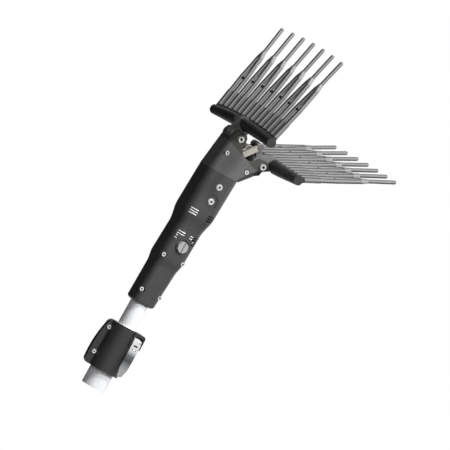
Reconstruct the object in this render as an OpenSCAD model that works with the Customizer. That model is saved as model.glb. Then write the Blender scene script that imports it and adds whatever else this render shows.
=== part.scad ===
// Electric olive harvester head on a short length of telescopic pole.
// Millimetres. +Z runs up the pole to the head, +X points to the lower comb, -Y is the screw side.
// The origin is the centre of the outer tube's lower end.

/* [Pole] */
// Outside diameter of the outer pole tube
outer_tube_d = 40; // [38:0.5:41]
// Wall of the outer pole tube
outer_tube_wall = 2; // [1.5:0.1:2.4]
// Length of outer tube that stands free below the clamp
outer_tube_free = 30; // [24:1:60]
// Length of outer tube gripped inside the clamp
outer_tube_grip = 45; // [38:1:52]
// Outside diameter of the inner pole tube
inner_tube_d = 30; // [27:0.5:31]
// Wall of the inner pole tube
inner_tube_wall = 1.5; // [1:0.1:2.5]
// Length of inner tube that shows between clamp and casing
inner_tube_gap = 43; // [40:1:70]
// Height of the guide ring at the foot of the inner tube
guide_ring_h = 8; // [5:0.5:12]

/* [Clamp] */
// Height of the pole clamp
clamp_h = 79; // [74:1:90]
// Outside diameter of the clamp barrel
clamp_d = 54; // [52:0.5:57]
// Half thickness of the flange behind the lever
flange_y = 8; // [6:0.5:10]
// Thickness of one clamp flange under the clamp screws
strip_t = 3.6; // [3:0.2:6]
// Width of the flip lever
lever_w = 15; // [12:0.5:16]
// Length of the flip lever below its pin
lever_l = 63; // [50:1:68]
// Thickness of the lever plate
lever_t = 2.5; // [2:0.1:3]
// Diameter of the lever pin
lever_pin_d = 5; // [4:0.5:6]

/* [Casing] */
// Height of the motor casing from its foot to the head housing
case_h = 242; // [240:1:252]
// Wall of the casing and of the head housing
case_wall = 3; // [2.4:0.1:3.4]
// Width of the casing at its foot
neck_w = 41; // [40:0.5:44]
// Width of the casing at the top of the grip
grip_w = 43.6; // [42:0.2:46]
// Width of the casing round the motor brushes
motor_w = 49; // [48.4:0.2:52]
// Width of the casing at its waist
waist_w = 48.3; // [48:0.1:50]
// Width of the casing round the gears
gear_w = 57.4; // [57:0.2:62]
// Sideways shift of the casing from its foot to its top
case_lean = 9.6; // [8:0.2:10.4]
// Height of the collar that grips the inner tube
collar_h = 42; // [36:1:46]
// Diameter of the small casing screws
screw_d = 4; // [3:0.5:4]
// Head diameter of the small casing screws
screw_head_d = 7; // [6:0.5:7.4]
// Diameter of the two frame screws
frame_screw_d = 6; // [5:0.5:6]
// Head diameter of the two frame screws
frame_head_d = 10.5; // [9:0.5:12]
// Height of a vent slot
vent_h = 2; // [1.4:0.1:2.4]
// Spacing of the vent slots
vent_pitch = 4; // [3.4:0.1:4.6]

/* [Head] */
// Upper comb pivot, across from the pole axis
upper_pivot_x = 2.5; // [1:0.5:4]
// Upper comb pivot, above the casing
upper_pivot_h = 62; // [60:0.5:64]
// Lower comb pivot, across from the pole axis
lower_pivot_x = 60; // [58:0.5:62]
// Lower comb pivot, above the casing
lower_pivot_h = 40; // [38.5:0.5:41.5]
// Radius of the housing lug round the upper pivot
upper_lug_r = 12.2; // [11:0.1:12.6]
// Radius of the housing lug round the lower pivot
lower_lug_r = 10; // [9:0.5:11]
// Radius of the housing mouth between the combs
mouth_r = 18; // [16:0.5:20]
// Half depth of the head housing at its foot
head_depth = 28.6; // [28:0.1:30]
// How much narrower each side of the housing is at its top
head_taper = 6; // [4:0.5:7]
// Diameter of the pivot bolts
pivot_d = 6; // [5:0.5:8]

/* [Combs] */
// Number of tines on a comb
tine_count = 7; // [3:2:7]
// Spacing of the tine roots along the bar
tine_pitch = 33.2; // [31:0.2:33.4]
// Fan angle from one tine to the next
tine_fan = 1.8; // [0:0.1:2]
// Distance from a bar's centre to its tine tips
tine_reach = 169; // [160:1:190]
// Diameter of the two legs of a tine
leg_d = 7.8; // [6:0.2:7.8]
// Distance from a bar's centre to the upper ends of the legs
leg_reach = 108; // [95:1:112]
// Gap between the two legs of a tine at their upper ends
leg_gap = 0.8; // [0.5:0.1:2]
// Distance from a bar's centre to the bend of the legs
bend_reach = 70; // [58:1:72]
// Diameter of a tip rod
tip_d = 6.6; // [5:0.2:6.8]
// Outside diameter of a root sleeve
sleeve_d = 9.2; // [9:0.1:10]
// Distance from a bar's centre to the upper ends of the sleeves
sleeve_reach = 39; // [30:1:48]
// Diameter of a comb bar at its ends
bar_d = 16; // [15.5:0.1:16.4]
// Distance from the axis of an outer leg to the end face of its bar
bar_end = 5.1; // [4.6:0.1:12]
// How far a bar bows towards its tips
bar_bow = 4.7; // [2:0.1:6]
// How much a bar swells on its outer side, next to its arm
bar_swell = 7.8; // [0.5:0.1:9]
// How much a bar swells on its pivot side, next to its arm
bar_back = 3.2; // [0.5:0.1:3.4]
// Distance from the upper pivot to its bar
upper_arm_l = 24.8; // [23:0.1:26]
// Distance from the lower pivot to its bar
lower_arm_l = 28.6; // [26:0.1:30]
// Radius of the comb hubs
hub_r = 13; // [11:0.5:13]
// Half width of the comb hubs
hub_y = 10.5; // [10:0.1:10.6]
// Angle of the upper tines from the pole axis
upper_angle = 13.4; // [11:0.1:16]
// Angle of the lower tines from the pole axis
lower_angle = 65.1; // [63:0.1:67]

/* [Drive] */
// Axis of motor, crank and yoke, across from the pole axis
drive_x = 5; // [4.4:0.1:5.6]
// Throw of the crank pin
crank_throw = 6; // [5:0.1:6]
// Diameter of the crank pin and of the link pins
link_pin_d = 8; // [6:0.5:8]
// Distance from the crank axis up to the casing top
crank_h = 47; // [45:0.5:50]
// Height of the crosshead pin above the casing top
crosshead_h = 18; // [16:0.5:20]
// Pivot to pin distance on the lower comb
lower_horn = 28.6; // [27:0.1:30]
// Pivot to pin distance on the upper comb
upper_horn = 31.3; // [30:0.1:33]
// Turn from the tines to the drive horn of either comb
horn_turn = 91; // [89:0.5:93]
// Width of a drive link
link_w = 9.4; // [8:0.2:10]
// Pitch radius of the crown gear
gear_r = 20; // [19:0.5:20]
// Diameter of the motor can
motor_d = 37; // [34:0.5:38]
// Diameter of the motor shaft
shaft_d = 6; // [5:0.5:7]
// Diameter of the slotted brush caps
brush_cap_d = 18.6; // [16:0.2:20]

/* [Fits] */
// Gap round pieces that seat in each other and stay put
seat_gap = 0.1; // [0.05:0.01:0.15]
// Running gap on the radius of pins, bushes and slides
run_gap = 0.05; // [0.03:0.01:0.08]
// Gap between pieces that pass each other
pass_gap = 0.5; // [0.4:0.05:0.6]
// Play on the radius of the link eyes on the comb pins
link_play = 0.8; // [0.7:0.05:0.9]

/* [Hidden] */
$fn = 64;
eps = 0.01;
far = 200;
arc_steps = 8;

// Pole levels
clamp_z = outer_tube_free;
clamp_top = clamp_z + clamp_h;
case_z = clamp_top + inner_tube_gap;
outer_top = clamp_z + outer_tube_grip;
outer_r = outer_tube_d / 2;
outer_bore_r = outer_r - outer_tube_wall;
grip_step = 0.6;
inner_r = inner_tube_d / 2;
inner_foot = clamp_z + 10;
bush_r = outer_bore_r - 0.4;
bush_foot = outer_top + 1;

// Clamp and lever places
clamp_r = clamp_d / 2;
lever_x = 16;
lever_pin_z = clamp_top - 12;
lever_pin_y = -(clamp_r - 2);
lever_barrel_r = lever_pin_d / 2 + 2.5;
ear_t = 2.6;
ear_x = lever_w / 2 + pass_gap + ear_t;
hood_t = 5;
hood_round = 5;
flange_reach = clamp_r + 7;
flange_lean = 5;
flange_bow = 2.8;
flange_round = 8;
ear_foot = lever_pin_z - lever_barrel_r - 7;
lever_bow_r = 320;
flange_screw_z = [clamp_z + 21, clamp_z + 66];
draw_r = 2;
draw_x = lever_x + lever_w / 2 - draw_r;
draw_eye_w = 3.6;
draw_eye_r = lever_pin_d / 2 + 1.2;
draw_head_h = 3;

// Motor levels, stacked down from the pinion
crank_level = case_h - crank_h;
crank_z = case_z + crank_level;
pinion_z = crank_z - gear_r;
pinion_gap = 4.2;
foot_plate_t = 3;
frame_foot = pinion_z - pinion_gap - foot_plate_t;
fan_gap = 1.6;
fan_h = 5.6;
fan_z = frame_foot - fan_gap - fan_h;
plate_t = 3;
plate_z = fan_z - fan_gap - plate_t;
can_h = 38;
can_z = plate_z - can_h;
bell_h = 23;
bell_z = can_z - bell_h;
brush_z = bell_z + 14.8;
motor_r = motor_d / 2;
can_wall = 1.2;
magnet_t = 2.6;
magnet_inset = 4;
core_inset = 9;
winding_h = 5.4;
bearing_t = 5;
shaft_r = shaft_d / 2;
motor_race_r = shaft_r + 5;
commutator_r = 8;
core_r = motor_r - can_wall - magnet_t - 0.6;
fan_r = motor_r - 3;
holder_r = 6.5;
holder_bore = 4.6;
holder_end = motor_w / 2 - 2.6;
cap_face = motor_w / 2 + 4.6;
brush_pocket_r = brush_cap_d / 2 + 2.6;
brush_seat = motor_w / 2 - case_wall + 0.6;

// Casing levels, measured from the casing foot
belly_h = bell_z - case_z - 10;
grip_h = belly_h - 20;
gear_h = crank_level - 25;
waist_h = gear_h - 32;
head_z = case_z + case_h;
corner_share = 0.58;
corner_steps = 10;
foot_round = 4;

// Small screw places: across and up
low_screw_h = 21.8;
mid_screw_h = belly_h + 1.6;
low_screw_x = neck_w / 2 - 2.4;
mid_screw_x = 19.2;
head_screw_a = [-6.9, head_z + 33];
head_screw_b = [39.6, head_z + 20.4];
boss_r = screw_d / 2 + 2.2;
screw_head_h = 2.6;
socket_key = screw_d * 0.44;
head_screw_sink = 1.2;
screw_recess = 1.3;
case_screws = [
  [case_shift(low_screw_h) - low_screw_x, case_z + low_screw_h, 15],
  [case_shift(low_screw_h) + low_screw_x, case_z + low_screw_h, 15],
  [case_shift(mid_screw_h) - mid_screw_x, case_z + mid_screw_h, 20.5],
  [case_shift(mid_screw_h) + mid_screw_x, case_z + mid_screw_h, 20.5]
];

// Frame screws on the near face
frame_screw_x = 8.4;
frame_screw_gap = 26;
frame_screw_h = [crank_level, crank_level + frame_screw_gap];
ring_r = 12;
ring_depth = 1.4;

// Pivots, pins and links in the plane of the mechanism: across and up
upper_pivot = [upper_pivot_x, head_z + upper_pivot_h];
lower_pivot = [lower_pivot_x, head_z + lower_pivot_h];
lower_pin = lower_pivot + lower_horn * aim(lower_angle - horn_turn);
upper_pin = upper_pivot + upper_horn * aim(upper_angle + horn_turn);
crosshead = [drive_x, head_z + crosshead_h];
pin_r = link_pin_d / 2;
eye_wall = 2.3;

// Layers across the mechanism, near side first
yoke_y = [-19, -14];
lower_link_y = [-13.5, -8.5];
lower_horn_y = [-8, 0];
upper_link_y = [-8, -3];
upper_horn_y = [-2.5, 5];
ring_a_y = [0.3, 5.3];
ring_b_y = [9.3, 14.3];
spacer_y = [5.4, 9.2];
lug_y = hub_y + pass_gap;
hub_clear = 0.7;

// Head housing outline
back_x = -19;
elbow_reach = 33.5;
elbow_x = drive_x + elbow_reach;
chin_x = lower_pivot_x + 4;
chin_h = lower_pivot_h - 15;
mouth_in = 26.5;
mouth_rise = 17.5;
mouth = [lower_pivot[0] - mouth_in, lower_pivot[1] + mouth_rise];
head_top = upper_pivot[1] + upper_lug_r + 2;
head_rise = head_top - head_z;
back_slope = (upper_pivot[0] - upper_lug_r - back_x) / upper_pivot_h;
skin = case_wall + 0.6;
back_round = 16;
top_round = 7;
elbow_bevel = 8;
elbow_wall = 10;
housing_screws = [
  [head_screw_a[0], head_screw_a[1], head_half(head_screw_a[1]) - head_screw_sink],
  [head_screw_b[0], head_screw_b[1], head_half(head_screw_b[1]) - head_screw_sink]
];

// Gears
pinion_teeth = 12;
gear_teeth = 36;
ratio = gear_teeth / pinion_teeth;
pinion_r = gear_r / ratio;
face_w = 6;
tooth_add = 0.8;
tooth_ded = 1.2;
tooth_share = 0.38;
gear_disc_t = 5;
journal_r = 6;
crank_race_r = 11;
frame_x = 12;
frame_y = gear_w / 2 - case_wall - 0.8;
far_plate_y = pinion_r + tooth_ded + gear_disc_t + 1;
near_plate_y = -yoke_y[0] + 1.5;
window_r = crank_throw * 2 + pin_r + pass_gap;
yoke_rim = 4;
stem_w = 10;
top_plate_z = head_z - 10;
top_plate_t = 6;
web_y = [-8, -4];

// Tines, measured along a tine from the bar's centre
leg_r = leg_d / 2;
leg_foot = bar_d / 2 - 5;
leg_spread = tine_pitch / 2;
leg_close = leg_d + leg_gap;
leg_lean = atan2((leg_spread - leg_close) / 2, leg_reach - bend_reach);
bend_step = 0.15;
bend_lap = 0.5;
leg_pin_r = leg_r / 2;
leg_pin_l = 2.4;
stay_r = 2.2;
boss_wall = 0.8;
boss_reach = bar_d / 2 + 3;
cone_l = 12.5;
tip_foot = 3;
tip_r = tip_d / 2;
half_count = (tine_count - 1) / 2;

// Bars and arms
bar_sides = 24;
bar_steps = 7;
half_bar = half_count * tine_pitch + leg_spread / 2 + bar_end;
bar_shoulder = hub_y + 0.4;
band_wall = 2.4;
bush_hole_r = pivot_d / 2 + 2.2;

function aim(angle) = [sin(angle), cos(angle)];
function arc(centre, r, from, to) = [for (k = [0 : arc_steps]) let (a = from + (to - from) * k / arc_steps)
  centre + r * [cos(a), sin(a)]];
function smooth(t) = t * t * (3 - 2 * t);
function ramp(a, b, t) = a + (b - a) * smooth(max(0, min(1, t)));
function case_shift(h) = case_lean * h / case_h;
function case_width(h) =
  h < grip_h ? neck_w + (grip_w - neck_w) * h / grip_h :
  h < belly_h ? ramp(grip_w, motor_w, (h - grip_h) / (belly_h - grip_h)) :
  h < waist_h ? motor_w + (waist_w - motor_w) * (h - belly_h) / (waist_h - belly_h) :
  ramp(waist_w, gear_w, (h - waist_h) / (gear_h - waist_h));
function case_half(h) = case_width(h) / 2 - foot_round * pow(max(0, 1 - h / foot_round), 2);
function head_half(z) = head_depth - head_taper * (z - head_z) / head_rise;
function head_back(z) = back_x + back_slope * (z - head_z);
function bar_drop(y) = -bar_bow * pow(y / half_bar, 2);
function outer_swell(y) = abs(y) <= bar_shoulder ? 0 : bar_swell * (1 - pow(abs(y) / half_bar, 1.4));
function back_swell(y) = abs(y) <= bar_shoulder ? 0 : bar_back * (1 - pow(y / half_bar, 2));

// One half of a rounded square, from +X round the near side to -X
function half_ring(shift, half, round, z) = concat(
  [[shift + half, 0, z]],
  [for (k = [0 : corner_steps]) let (a = 90 * k / corner_steps)
    [shift + half - round + round * cos(a), -(half - round) - round * sin(a), z]],
  [for (k = [0 : corner_steps]) let (a = 90 + 90 * k / corner_steps)
    [shift - half + round + round * cos(a), -(half - round) - round * sin(a), z]],
  [[shift - half, 0, z]]
);
ring_points = 2 * corner_steps + 4;
function half_circle(r, z) = [for (k = [0 : ring_points - 1])
  let (a = 180 * k / (ring_points - 1)) [r * cos(a), -r * sin(a), z]];
function case_ring(h, inset) =
  half_ring(case_shift(h), case_half(h) - inset, corner_share * case_half(h) - inset, case_z + h);
function sorted(list) = len(list) < 2 ? list : let (pivot = list[floor(len(list) / 2)])
  concat(sorted([for (v = list) if (v < pivot) v]), [pivot], sorted([for (v = list) if (v > pivot) v]));
function reversed(list) = [for (k = [len(list) - 1 : -1 : 0]) list[k]];

// Sides between stacked loops that run clockwise seen from above
function side_faces(loops, n) = [for (i = [0 : loops - 2], j = [0 : n - 1])
  let (a = i * n + j, b = i * n + (j + 1) % n)
  each [[a, b, b + n], [a, b + n, a + n]]];
function fan_cap(first, n, up) = [for (j = [1 : n - 2])
  up ? [first, first + j, first + j + 1] : [first, first + j + 1, first + j]];
function strip_cap(first, n, up) = [for (j = [0 : n / 2 - 2])
  let (a = first + j, b = first + j + 1, c = first + n - 2 - j, d = first + n - 1 - j)
  each (up ? [[a, b, c], [a, c, d]] : [[a, c, b], [a, d, c]])];
function joined(loops) = [for (loop = loops) each loop];

module loft_solid(loops) {
  n = len(loops[0]);
  polyhedron(joined(loops), concat(side_faces(len(loops), n), fan_cap(0, n, false),
    fan_cap((len(loops) - 1) * n, n, true)));
}

module loft_shell(loops) {
  n = len(loops[0]);
  polyhedron(joined(loops), concat(side_faces(len(loops), n), strip_cap(0, n, false),
    strip_cap((len(loops) - 1) * n, n, true)));
}

// Cylinder along Y between two depths, at a place across and up
module across(place, r, y0, y1) {
  translate([place[0], y1, place[1]]) rotate([90, 0, 0]) cylinder(r = r, h = y1 - y0);
}

// Plate along Y between two depths, cut to an outline given across and up
module slab(points, y0, y1) {
  translate([0, y1, 0]) rotate([90, 0, 0]) linear_extrude(y1 - y0) polygon(points);
}

module on_both_sides() {
  children();
  mirror([0, 1, 0]) children();
}

// Pole

module outer_tube() color("gainsboro") difference() {
  union() {
    cylinder(r = outer_r, h = outer_tube_free);
    cylinder(r = outer_r - grip_step, h = outer_top);
  }
  translate([0, 0, -1]) cylinder(r = outer_bore_r, h = far);
}

module inner_tube() color("whitesmoke") translate([0, 0, inner_foot]) difference() {
  cylinder(r = inner_r, h = case_z + collar_h - inner_foot - 1);
  translate([0, 0, -1]) cylinder(r = inner_r - inner_tube_wall, h = far * 2);
}

module tube_guide_ring() color("dimgray") translate([0, 0, inner_foot]) difference() {
  cylinder(r = outer_bore_r - run_gap, h = guide_ring_h);
  translate([0, 0, -1]) cylinder(r = inner_r + run_gap / 2, h = far);
}

module tube_bush() color("whitesmoke") translate([0, 0, bush_foot]) difference() {
  cylinder(r = bush_r, h = clamp_top - bush_foot);
  translate([0, 0, -1]) cylinder(r = inner_r + run_gap, h = far);
}

// Clamp

// The flange leans out towards its foot, and its screws follow it
function flange_screw_x(z) = -(clamp_r + 0.8 + flange_lean * (clamp_top - z) / clamp_h);

module clamp_flange(side, thick, bow) {
  low = [flange_reach + flange_lean, clamp_z + flange_round];
  high = [flange_reach, clamp_top - flange_round];
  outline = concat([[0, clamp_z]],
    arc(low - [flange_round, 0], flange_round, -90, 0),
    [for (s = [0.1 : 0.1 : 0.9]) low * (1 - s) + high * s + [bow * 4 * s * (1 - s), 0]],
    arc(high - [flange_round, 0], flange_round, 0, 90), [[0, clamp_top]]);
  slab([for (p = outline) [side * p[0], p[1]]], -thick, 0);
}

module clamp_bores() {
  translate([0, 0, clamp_z - 1]) cylinder(r = outer_r - grip_step + seat_gap, h = bush_foot - clamp_z + 1);
  translate([0, 0, bush_foot - eps]) cylinder(r = bush_r + seat_gap, h = far);
  for (z = flange_screw_z) across([flange_screw_x(z), z], screw_d / 2 + seat_gap, -far, far);
}

module clamp_half_body() difference() {
  union() {
    translate([0, 0, clamp_z]) intersection() {
      cylinder(r = clamp_r, h = clamp_h);
      translate([-far, -far, 0]) cube([far * 2, far, clamp_h]);
    }
    clamp_flange(-1, strip_t, flange_bow);
    intersection() {
      clamp_flange(1, flange_y, 0);
      translate([0, -far, ear_foot]) cube([flange_reach, far, far]);
    }
  }
  clamp_bores();
}

module clamp_near() color([0.13, 0.13, 0.13]) difference() {
  union() {
    clamp_half_body();
    slab(concat([[lever_x - ear_x, clamp_top], [lever_x - ear_x, ear_foot], [lever_x + ear_x, ear_foot]],
      arc([lever_x + ear_x - hood_round, clamp_top - hood_round], hood_round, 0, 90)),
      -clamp_r - 2, -flange_y + 2);
  }
  lever_pocket();
  clamp_bores();
  lever_pin_hole(seat_gap);
  across([draw_x, lever_pin_z], draw_r + seat_gap, -far, far);
  for (z = flange_screw_z) across([flange_screw_x(z), z], screw_head_d / 2 + 0.4, -far, -strip_t + 0.8);
}

// Room for the lever's barrel and plate, under the hood
module lever_pocket() {
  wide = lever_w + 2 * pass_gap;
  translate([lever_x - wide / 2, -far, ear_foot - 1])
    cube([wide, far + lever_pin_y + lever_barrel_r + pass_gap, clamp_top - hood_t - ear_foot + 1]);
}

module clamp_far() color([0.13, 0.13, 0.13]) difference() {
  mirror([0, 1, 0]) clamp_half_body();
  across([draw_x, lever_pin_z], draw_r + seat_gap, -far, far);
  translate([draw_x - 5, flange_y, lever_pin_z - 5]) cube([10 + clamp_r, far, 10]);
}

module clamp_screws() color("silver") for (z = flange_screw_z) {
  place = [flange_screw_x(z), z];
  difference() {
    union() {
      across(place, screw_d / 2, -strip_t + 0.5, strip_t + 3);
      across(place, screw_head_d / 2, -strip_t + 0.8 - screw_head_h, -strip_t + 0.8);
    }
    across(place, socket_key, -far, -strip_t + 0.8 - screw_head_h / 3, $fn = 6);
  }
}

// Eye bolt on the lever pin that draws the two clamp halves together
module draw_bolt() color("silver") difference() {
  union() {
    translate([draw_x - draw_eye_w / 2, lever_pin_y, lever_pin_z]) rotate([0, 90, 0])
      cylinder(r = draw_eye_r, h = draw_eye_w);
    across([draw_x, lever_pin_z], draw_r, lever_pin_y + lever_pin_d / 2, flange_y + draw_head_h);
    across([draw_x, lever_pin_z], draw_r + 1.8, flange_y, flange_y + draw_head_h, $fn = 6);
  }
  lever_pin_hole(run_gap);
}

module lever_pin_hole(gap) translate([lever_x - ear_x - gap, lever_pin_y, lever_pin_z]) rotate([0, 90, 0])
  cylinder(d = lever_pin_d + 2 * gap, h = far);

module lever_pin() color("silver")
  translate([lever_x - ear_x, lever_pin_y, lever_pin_z]) rotate([0, 90, 0])
    cylinder(d = lever_pin_d, h = 2 * ear_x);

module clamp_lever() color("gainsboro") difference() {
  union() {
    translate([lever_x - lever_w / 2, lever_pin_y, lever_pin_z]) rotate([0, 90, 0])
      cylinder(r = lever_barrel_r, h = lever_w);
    intersection() {
      lever_bow();
      translate([lever_x, 0, lever_pin_z - lever_l]) lever_plan();
    }
  }
  lever_pin_hole(run_gap);
  translate([draw_x - draw_eye_w / 2 - pass_gap / 2, lever_pin_y, lever_pin_z]) rotate([0, 90, 0])
    cylinder(r = lever_barrel_r + pass_gap, h = draw_eye_w + far);
  for (z = [lever_pin_z - 9, lever_pin_z - 15])
    translate([lever_x - lever_w / 4, -far, z]) cube([lever_w / 2, far + lever_pin_y - 1, 2.4]);
}

// Bowed sheet of the lever, an arc seen along the pin
module lever_bow() {
  face = lever_pin_y - lever_barrel_r;
  drop = lever_bow_r - sqrt(pow(lever_bow_r, 2) - pow(lever_l / 2, 2));
  translate([lever_x - lever_w / 2, face - drop + lever_bow_r, lever_pin_z - lever_l / 2]) rotate([0, 90, 0])
    difference() {
      cylinder(r = lever_bow_r, h = lever_w, $fn = 256);
      translate([0, 0, -1]) cylinder(r = lever_bow_r - lever_t, h = lever_w + 2, $fn = 256);
    }
}

// Face outline of the lever, with a narrowed round end
module lever_plan() {
  end_r = lever_w / 3;
  rotate([90, 0, 0]) linear_extrude(far) union() {
    polygon([[-lever_w / 2, end_r + 10], [-lever_w / 2, lever_l], [lever_w / 2, lever_l],
      [lever_w / 2, end_r + 10], [end_r, end_r], [-end_r, end_r]]);
    translate([0, end_r]) circle(end_r);
  }
}

// Casing

case_levels = sorted(concat([0, foot_round / 2, foot_round, collar_h, collar_h + 1, grip_h],
  [for (k = [1 : 4]) grip_h + (belly_h - grip_h) * k / 4], [waist_h],
  [for (k = [1 : 5]) waist_h + (gear_h - waist_h) * k / 5], [case_h]));

module case_shell() loft_shell([for (h = case_levels) concat(case_ring(h, 0),
  reversed(h <= collar_h ? half_circle(inner_r - 2, case_z + h) : case_ring(h, case_wall)))]);

// Half ring that steadies the motor inside the casing
module motor_rib(z) difference() {
  h = z - case_z;
  loft_solid([case_ring(h, case_wall - 0.6), case_ring(h + 2.4, case_wall - 0.6)]);
  translate([drive_x, 0, z - 1]) cylinder(r = motor_r + seat_gap, h = 5);
}

module screw_bosses(list) for (s = list) across([s[0], s[1]], boss_r, -s[2] - 0.8, 0);

module screw_holes(list) for (s = list) {
  across([s[0], s[1]], screw_d / 2 + seat_gap, -far, far);
  across([s[0], s[1]], screw_head_d / 2 + screw_recess, -far, -s[2] + 0.4);
}

// Rows of vent slots: first row height, rows, and reach of each slot across
module vents() {
  upper = fan_z + 4.6;
  lower = brush_z + 9.8;
  for (k = [0 : 2]) {
    vent(upper + k * vent_pitch, -far, -2);
    vent(upper + k * vent_pitch, 17, far);
  }
  for (k = [0 : 3]) {
    vent(lower + k * vent_pitch, -far, k < 2 ? -10.5 : -0.6);
    vent(lower + k * vent_pitch, k < 2 ? 17 : 9, far);
  }
}

// The slots stop where the casing turns into its side walls
module vent(z, x0, x1) {
  h = z - case_z;
  side = case_half(h) - corner_share * case_half(h) * 0.35;
  left = max(x0, case_shift(h) - side);
  right = min(x1, case_shift(h) + side);
  translate([left, -far, z - vent_h / 2]) cube([right - left, far - motor_r - 1, vent_h]);
}

module casing_half() difference() {
  union() {
    case_shell();
    for (z = [bell_z + 3, can_z + can_h - 8]) motor_rib(z);
    intersection() {
      screw_bosses([case_screws[2], case_screws[3]]);
      loft_solid([for (h = [mid_screw_h - boss_r - 1, mid_screw_h + boss_r + 1]) case_ring(h, 0.4)]);
    }
    across([drive_x, brush_z], brush_pocket_r + 2, -brush_seat - 1, -motor_r - 0.4);
  }
  translate([0, 0, case_z - 1]) cylinder(r = inner_r + seat_gap / 2, h = collar_h + 1);
  vents();
  across([drive_x, brush_z], brush_pocket_r, -far, -brush_seat);
  across([drive_x, brush_z], holder_r + seat_gap, -far, 0);
}

module casing_near() color([0.2, 0.2, 0.2]) difference() {
  casing_half();
  screw_holes(case_screws);
  for (h = frame_screw_h) across([frame_screw_x, case_z + h], frame_screw_d / 2 + seat_gap, -far, 0);
  across([frame_screw_x, case_z + frame_screw_h[0]], ring_r, -far, -gear_w / 2 + ring_depth);
}

module casing_far() color([0.2, 0.2, 0.2]) mirror([0, 1, 0]) difference() {
  casing_half();
  for (s = case_screws) across([s[0], s[1]], screw_d / 2 + seat_gap, -10, far);
}

module casing_screws() color("white") for (s = concat(case_screws, housing_screws)) {
  place = [s[0], s[1]];
  difference() {
    union() {
      across(place, screw_d / 2, -s[2], 9);
      across(place, screw_head_d / 2, -s[2] - screw_head_h + 0.4, -s[2] + 0.4);
    }
    across(place, socket_key, -far, -s[2] - screw_head_h / 3, $fn = 6);
  }
}

module frame_screws() color("white") for (k = [0, 1]) {
  place = [frame_screw_x, case_z + frame_screw_h[k]];
  seat = -gear_w / 2 + (k == 0 ? ring_depth : 0);
  difference() {
    union() {
      across(place, frame_screw_d / 2, seat, seat + 7);
      across(place, frame_head_d / 2, seat - 1.6, seat);
      across(place, frame_head_d / 2 - 1, seat - 3, seat);
    }
    across(place, frame_screw_d * 0.38, -far, seat - 0.8, $fn = 6);
  }
}

// Head housing

// Near half of the tapered block that the housing is cut from
module head_block(inset, foot, top) {
  loft_solid([for (z = [foot, top]) let (
    half = head_half(z) - inset,
    back = head_back(z) + inset,
    round = back_round + (top_round - back_round) * (z - head_z) / head_rise - inset / 2)
    concat([[far, 0, z], [far, -half, z]],
      [for (k = [0 : corner_steps]) let (a = 90 * k / corner_steps)
        [back + round - round * sin(a), -half + round - round * cos(a), z]],
      [[back, 0, z]])]);
}

lip_start = [mouth[0], mouth[1] - mouth_r + 1];
lip_end = [lower_pivot[0] - 2, lower_pivot[1] + lower_lug_r - 0.4];
lip_bevel = case_wall + 0.4;

head_outline = [
  [back_x - 1, head_z], [upper_pivot[0] - upper_lug_r + 0.4, upper_pivot[1] + 2],
  [upper_pivot[0] + upper_lug_r - 0.4, upper_pivot[1] + 2], lip_start, lip_end,
  [lower_pivot[0] + lower_lug_r - 0.4, lower_pivot[1] - 2], [chin_x, head_z + chin_h],
  [chin_x - 6, head_z + chin_h - 4], [elbow_x, head_z]
];
head_room = [
  [-far, head_z - 1], [-far, head_top + 2], [far, head_top + 2], [far, lower_pivot[1] - 8],
  [chin_x, head_z + chin_h + elbow_wall], [chin_x - 6, head_z + chin_h - 4 + elbow_wall],
  [elbow_x - elbow_wall, head_z - 1]
];

module head_half_solid() difference() {
  union() {
    difference() {
      intersection() {
        head_block(0, head_z, head_top);
        union() {
          slab(head_outline, -far, 0);
          across(upper_pivot, upper_lug_r, -far, 0);
          across(lower_pivot, lower_lug_r, -far, 0);
        }
      }
      intersection() {
        head_block(skin, head_z - 1, head_top + 2);
        slab(head_room, -far, 1);
      }
    }
    across(upper_pivot, upper_lug_r - 1, -head_half(upper_pivot[1]) + skin / 2, -lug_y);
    across(lower_pivot, lower_lug_r - 1, -head_half(lower_pivot[1]) + skin / 2, -lug_y);
    screw_bosses([for (s = housing_screws) [s[0], s[1], s[2] - skin + 1]]);
  }
  across(mouth, mouth_r, -far, 1);
  across(upper_pivot, hub_r + hub_clear, -lug_y, 1);
  across(lower_pivot, hub_r + hub_clear, -lug_y, 1);
  for (p = [upper_pivot, lower_pivot]) across(p, pivot_d / 2 + seat_gap, -far, 1);
  elbow_cut();
  mouth_bevel();
}

// Bevel round the mouth and along its lower lip
module mouth_bevel() {
  span = lip_end - lip_start;
  translate([mouth[0], -head_half(mouth[1]) + lip_bevel, mouth[1]]) rotate([90, 0, 0])
    cylinder(r1 = mouth_r, r2 = mouth_r + lip_bevel * 2, h = lip_bevel * 2);
  translate([lip_start[0], -head_half(lip_start[1]), lip_start[1]]) rotate([0, -atan2(span[1], span[0]), 0])
    rotate([45, 0, 0]) translate([0, -lip_bevel * 2, -lip_bevel / sqrt(2)])
      cube([norm(span) + lip_bevel, lip_bevel * 4, lip_bevel * 3]);
}

// Wide bevel along the underside of the elbow
module elbow_cut() {
  slope = atan2(chin_h - 4, chin_x - 6 - elbow_x);
  translate([elbow_x, -head_half(head_z), head_z]) rotate([0, -slope, 0]) rotate([45, 0, 0])
    translate([-far / 2, -elbow_bevel, -elbow_bevel * 0.72]) cube([far, elbow_bevel * 2, elbow_bevel * 1.4]);
}

module head_near() color([0.27, 0.27, 0.27]) difference() {
  head_half_solid();
  screw_holes(housing_screws);
  for (p = [upper_pivot, lower_pivot]) across(p, pivot_washer_r + 0.4, -far, pivot_seat(p));
}

module head_far() color([0.27, 0.27, 0.27]) mirror([0, 1, 0]) difference() {
  head_half_solid();
  for (s = housing_screws) across([s[0], s[1]], screw_d / 2 + seat_gap, -10, far);
  for (p = [upper_pivot, lower_pivot]) across(p, pivot_washer_r + 0.4, -far, pivot_seat(p));
}

// Pivot bolts, washers and nuts

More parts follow.
